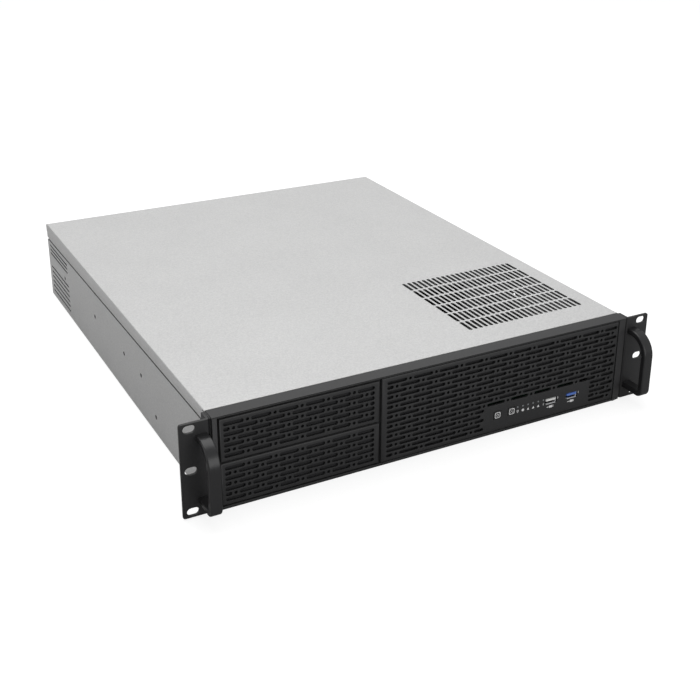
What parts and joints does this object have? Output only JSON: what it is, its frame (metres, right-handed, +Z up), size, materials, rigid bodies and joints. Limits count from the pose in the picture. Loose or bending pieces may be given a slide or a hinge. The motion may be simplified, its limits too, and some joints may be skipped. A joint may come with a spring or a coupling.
{
  "type": "rackmount server case",
  "caption": "Flat steel case for a rack: lift-off lid, slotted black fascia, drive bay covers, ears with handles, drive cages, fan wall and rear panel, with no electronics in it.",
  "frame": {"origin": "middle of the footprint of the whole case, on its underside", "axes": "+X to the right seen from the front, +Y from the fascia to the back, +Z up"},
  "size_m": [0.4826, 0.5598, 0.088],
  "materials": {
    "case_steel": "dull zinc coat with a fine even spangle",
    "ear_steel": "black powder coat with a fine grain",
    "handle_alloy": "smooth black paint on a bent bar",
    "fascia_plastic": "fine matt moulded black",
    "button_plastic": "smooth black caps",
    "lens_plastic": "milky clear light pipe",
    "filter_foam": "open black foam",
    "bare_steel": "bright zinc plate",
    "socket_steel": "bright plated shell",
    "tongue_white": "white moulded tongue",
    "tongue_blue": "blue moulded tongue",
    "board_laminate": "green solder mask",
    "switch_plastic": "black moulded switch body",
    "fan_plastic": "black moulded fan",
    "brass": "turned brass",
    "screw_steel": "plated screw"
  },
  "bodies": {
    "case": {"chassis_pan": "case_steel", "front_wall": "bare_steel", "front_bezel": "fascia_plastic", "front_grille": "fascia_plastic", "dust_filter": "filter_foam", "led_lenses": "lens_plastic", "usb_white_shell": "socket_steel", "usb_white_tongue": "tongue_white", "usb_blue_shell": "socket_steel", "usb_blue_tongue": "tongue_blue", "control_board": "board_laminate", "board_spacers": "brass", "push_switches": "switch_plastic", "ear_left": "ear_steel", "ear_right": "ear_steel", "handle_left": "handle_alloy", "handle_right": "handle_alloy", "handle_screws": "screw_steel", "drive_cage_wide": "bare_steel", "drive_cage_narrow": "bare_steel", "supply_cradle": "bare_steel", "fan_wall": "bare_steel", "fan_frame_1": "fan_plastic", "fan_frame_2": "fan_plastic", "fan_frame_3": "fan_plastic", "cross_brace": "bare_steel", "board_standoffs": "brass", "rear_panel": "case_steel", "slot_covers": "bare_steel", "slot_screws": "screw_steel", "power_inlet": "switch_plastic", "inlet_pins": "brass", "lid_thumb_screws": "screw_steel"},
    "lid": {"top_cover": "case_steel"},
    "upper_cover": {"bay_cover_upper": "fascia_plastic"},
    "lower_cover": {"bay_cover_lower": "fascia_plastic"},
    "power_key": {"power_button": "button_plastic"},
    "reset_key": {"reset_button": "button_plastic"},
    "rotor_1": {"fan_rotor_1": "fan_plastic"},
    "rotor_2": {"fan_rotor_2": "fan_plastic"},
    "rotor_3": {"fan_rotor_3": "fan_plastic"}
  },
  "joints": [
    {"name": "lid_lift", "type": "slide", "parent": "case", "child": "lid", "axis": [0, 0, 1], "range_m": [0, 0.1]},
    {"name": "upper_cover_pull", "type": "slide", "parent": "case", "child": "upper_cover", "axis": [0, -1, 0], "range_m": [0, 0.03]},
    {"name": "lower_cover_pull", "type": "slide", "parent": "case", "child": "lower_cover", "axis": [0, -1, 0], "range_m": [0, 0.03]},
    {"name": "power_press", "type": "slide", "parent": "case", "child": "power_key", "axis": [0, 1, 0], "range_m": [0, 0.0015], "stiffness_N_per_m": 400, "springref_m": -0.0005},
    {"name": "reset_press", "type": "slide", "parent": "case", "child": "reset_key", "axis": [0, 1, 0], "range_m": [0, 0.0015], "stiffness_N_per_m": 400, "springref_m": -0.0005},
    {"name": "rotor_1_spin", "type": "hinge", "parent": "case", "child": "rotor_1", "pos_m": [-0.126, -0.0339, 0.0435], "axis": [0, 1, 0], "continuous": true},
    {"name": "rotor_2_spin", "type": "hinge", "parent": "case", "child": "rotor_2", "pos_m": [0, -0.0339, 0.0435], "axis": [0, 1, 0], "continuous": true},
    {"name": "rotor_3_spin", "type": "hinge", "parent": "case", "child": "rotor_3", "pos_m": [0.126, -0.0339, 0.0435], "axis": [0, 1, 0], "continuous": true}
  ]
}
